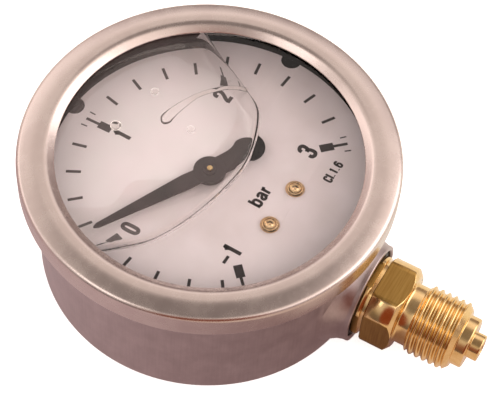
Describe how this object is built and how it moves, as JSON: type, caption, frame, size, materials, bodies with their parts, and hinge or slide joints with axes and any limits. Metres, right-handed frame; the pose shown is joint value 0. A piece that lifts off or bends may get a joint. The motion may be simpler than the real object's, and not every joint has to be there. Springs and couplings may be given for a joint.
{
  "type": "pressure gauge",
  "caption": "Round liquid-filled bourdon tube pressure gauge with a steel case, crimped bezel, white dial, black pointer and a threaded brass bottom connection.",
  "frame": {"origin": "centre of the round back face, on the dial's axis", "axes": "+Z out of the dial along the pointer's axis, +Y to 12 o'clock, +X to 3 o'clock; the threaded connection points along -Y"},
  "size_m": [0.068, 0.09, 0.0303],
  "materials": {
    "case_steel": "satin drawn stainless steel",
    "bezel_steel": "satin turned stainless steel with a bright rolled lip",
    "window_glass": "clear polished",
    "black_rubber": "moulded black rubber",
    "socket_brass": "turned brass, lightly aged",
    "tube_bronze": "drawn bronze tube",
    "movement_brass": "stamped and turned brass",
    "screw_brass": "bright turned brass",
    "spring_steel": "bright spring steel",
    "dial_white": "matt white lacquer on aluminium with printed scale",
    "pointer_black": "matt black lacquer on aluminium"
  },
  "bodies": {
    "case": {"case": "case_steel", "bezel_ring": "bezel_steel", "window": "window_glass", "window_gasket": "black_rubber", "fill_plug": "black_rubber", "socket": "socket_brass", "socket_seal": "black_rubber", "restrictor": "socket_brass", "bourdon_tube": "tube_bronze", "back_plate": "movement_brass", "front_plate": "movement_brass", "pillar_right": "movement_brass", "pillar_lower": "movement_brass", "pillar_upper": "movement_brass", "plate_screw_right": "screw_brass", "plate_screw_lower": "screw_brass", "plate_screw_upper": "screw_brass", "dial_post_left": "movement_brass", "dial_post_right": "movement_brass", "dial_screw_left": "screw_brass", "dial_screw_right": "screw_brass", "dial": "dial_white", "hairspring": "spring_steel", "hairspring_stud": "movement_brass"},
    "pointer": {"pinion_arbor": "spring_steel", "hairspring_collet": "movement_brass", "pointer": "pointer_black", "pointer_bush": "screw_brass"},
    "sector": {"sector_gear": "movement_brass", "sector_arbor": "spring_steel", "tail_pin": "spring_steel"},
    "tube_end": {"tube_end": "movement_brass", "tip_pin": "spring_steel"},
    "link": {"link": "spring_steel"}
  },
  "joints": [
    {"name": "pointer_spin", "type": "hinge", "parent": "case", "child": "pointer", "pos_m": [0, 0, 0.0232], "axis": [0, 0, -1], "range_deg": [-72, 198], "stiffness_Nm_per_rad": 0.00001, "deforming": ["hairspring"]},
    {"name": "sector_swing", "type": "hinge", "parent": "case", "child": "sector", "pos_m": [0.01244, -0.00839, 0.0173], "axis": [0, 0, 1], "range_deg": [-8.1, 22.1]},
    {"name": "tube_end_swing", "type": "hinge", "parent": "case", "child": "tube_end", "pos_m": [-0.00364, 0.00619, 0.0095], "axis": [0, 0, 1], "range_deg": [-1.6, 4.3], "deforming": ["bourdon_tube"]},
    {"name": "link_swing", "type": "hinge", "parent": "tube_end", "child": "link", "pos_m": [0.019, -0.0044, 0.0182], "axis": [0, 0, 1], "range_deg": [-5, 1.9]}
  ],
  "couplings": [
    {"joint": "sector_swing", "follows": "pointer_spin", "ratio": 0.11111},
    {"joint": "tube_end_swing", "follows": "pointer_spin", "ratio": 0.0213},
    {"joint": "link_swing", "follows": "pointer_spin", "ratio": -0.0247}
  ]
}
